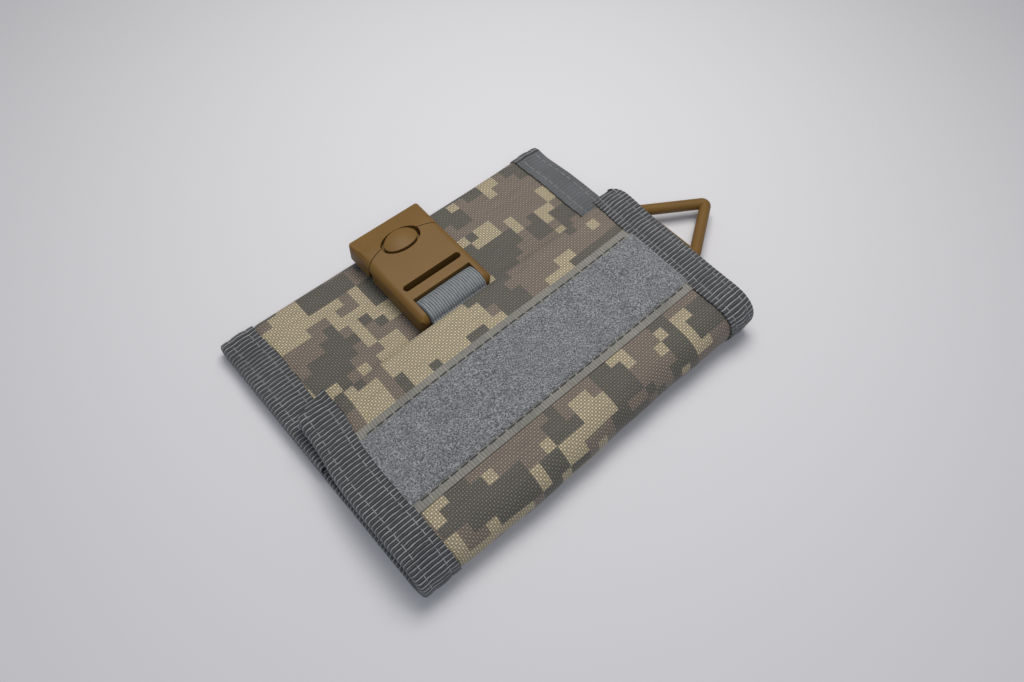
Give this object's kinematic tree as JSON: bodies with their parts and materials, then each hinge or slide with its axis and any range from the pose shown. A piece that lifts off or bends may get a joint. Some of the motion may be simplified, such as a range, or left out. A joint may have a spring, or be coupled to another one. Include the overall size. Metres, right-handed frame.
{
  "type": "trifold wallet",
  "caption": "Trifold cloth wallet with bound edges, two folding flaps, a hook-and-loop strip, a push-button buckle on an elastic strap and a triangular ring.",
  "frame": {"origin": "centre of the back panel's outer face, midway between the bound edges and midway between the two folds; the wallet lies on this face", "axes": "+X along the folds towards the ring, +Y from the near fold (outer flap) to the far fold (inner flap), +Z out of the face with the buckle and the loop tape"},
  "size_m": [0.1548, 0.097, 0.0159],
  "materials": {
    "camo_oxford": "printed 600D polyester oxford, digital camouflage in tan, olive grey and mauve brown",
    "stiffener_board": "die-cut polyethylene board, hidden between the cloths",
    "foam_sheet": "soft foam sheet, hidden between the cloths",
    "lining_cloth": "black 210D nylon lining",
    "pocket_cloth": "black 210D nylon pocket cloth",
    "grosgrain_binding": "dark blue-grey ribbed grosgrain ribbon",
    "strap_webbing": "dark grey polyester webbing",
    "hook_tape": "black hook tape",
    "loop_pile": "brushed nylon loop pile",
    "loop_tape_ground": "woven nylon ground of the loop tape, bare at its selvedges",
    "elastic_webbing": "blue-grey woven elastic",
    "moulded_acetal": "coyote-brown injection-moulded acetal, satin"
  },
  "bodies": {
    "back_panel": {"back_fabric": "camo_oxford", "back_board": "stiffener_board", "note_pocket_lining": "lining_cloth", "note_pocket_tape": "grosgrain_binding", "card_pocket_rear": "pocket_cloth", "card_pocket_middle": "pocket_cloth", "card_pocket_front": "pocket_cloth", "back_binding_left": "grosgrain_binding", "back_binding_right": "grosgrain_binding", "ring_tab": "strap_webbing", "near_fold_fabric": "camo_oxford", "near_fold_lining": "lining_cloth", "near_fold_binding": "grosgrain_binding", "far_fold_fabric": "camo_oxford", "far_fold_lining": "lining_cloth", "far_fold_binding": "grosgrain_binding", "short_strap_anchor": "strap_webbing"},
    "outer_flap": {"outer_flap_fabric": "camo_oxford", "outer_flap_foam": "foam_sheet", "outer_flap_lining": "lining_cloth", "outer_flap_binding_left": "grosgrain_binding", "outer_flap_binding_right": "grosgrain_binding", "coin_pocket": "pocket_cloth", "coin_pocket_hook_strip": "hook_tape", "coin_pocket_loop_strip": "loop_pile", "loop_tape_base": "loop_tape_ground", "loop_tape_pile": "loop_pile", "elastic_strap": "elastic_webbing", "buckle_female": "moulded_acetal"},
    "inner_flap": {"inner_flap_fabric": "camo_oxford", "inner_flap_board": "stiffener_board", "inner_flap_lining": "lining_cloth", "inner_flap_pocket": "pocket_cloth", "inner_flap_binding_left": "grosgrain_binding", "inner_flap_binding_right": "grosgrain_binding"},
    "buckle_male_half": {"buckle_male": "moulded_acetal", "short_strap_loop": "strap_webbing"},
    "button": {"release_button": "moulded_acetal"},
    "ring": {"triangle_ring": "moulded_acetal"}
  },
  "joints": [
    {"name": "outer_fold", "type": "hinge", "parent": "back_panel", "child": "outer_flap", "pos_m": [0, -0.04935, 0.00665], "axis": [1, 0, 0], "range_deg": [0, 180], "deforming": ["near_fold_fabric", "near_fold_lining", "near_fold_binding"]},
    {"name": "inner_fold", "type": "hinge", "parent": "back_panel", "child": "inner_flap", "pos_m": [0, 0.0478, 0.003], "axis": [-1, 0, 0], "range_deg": [0, 180], "deforming": ["far_fold_fabric", "far_fold_lining", "far_fold_binding", "short_strap_anchor"]},
    {"name": "buckle_pull", "type": "slide", "parent": "inner_flap", "child": "buckle_male_half", "axis": [0, 0.9981, 0.061], "range_m": [0, 0.016], "deforming": ["short_strap_loop"]},
    {"name": "button_press", "type": "slide", "parent": "buckle_male_half", "child": "button", "axis": [0, 0.061, -0.9981], "range_m": [0, 0.0016], "stiffness_N_per_m": 400},
    {"name": "ring_swing", "type": "hinge", "parent": "back_panel", "child": "ring", "pos_m": [0.0657, -0.0085, 0.00555], "axis": [0, -1, 0], "range_deg": [-85, 95]}
  ],
  "couplings": [
    {"joint": "inner_fold", "follows": "outer_fold", "ratio": 1}
  ]
}
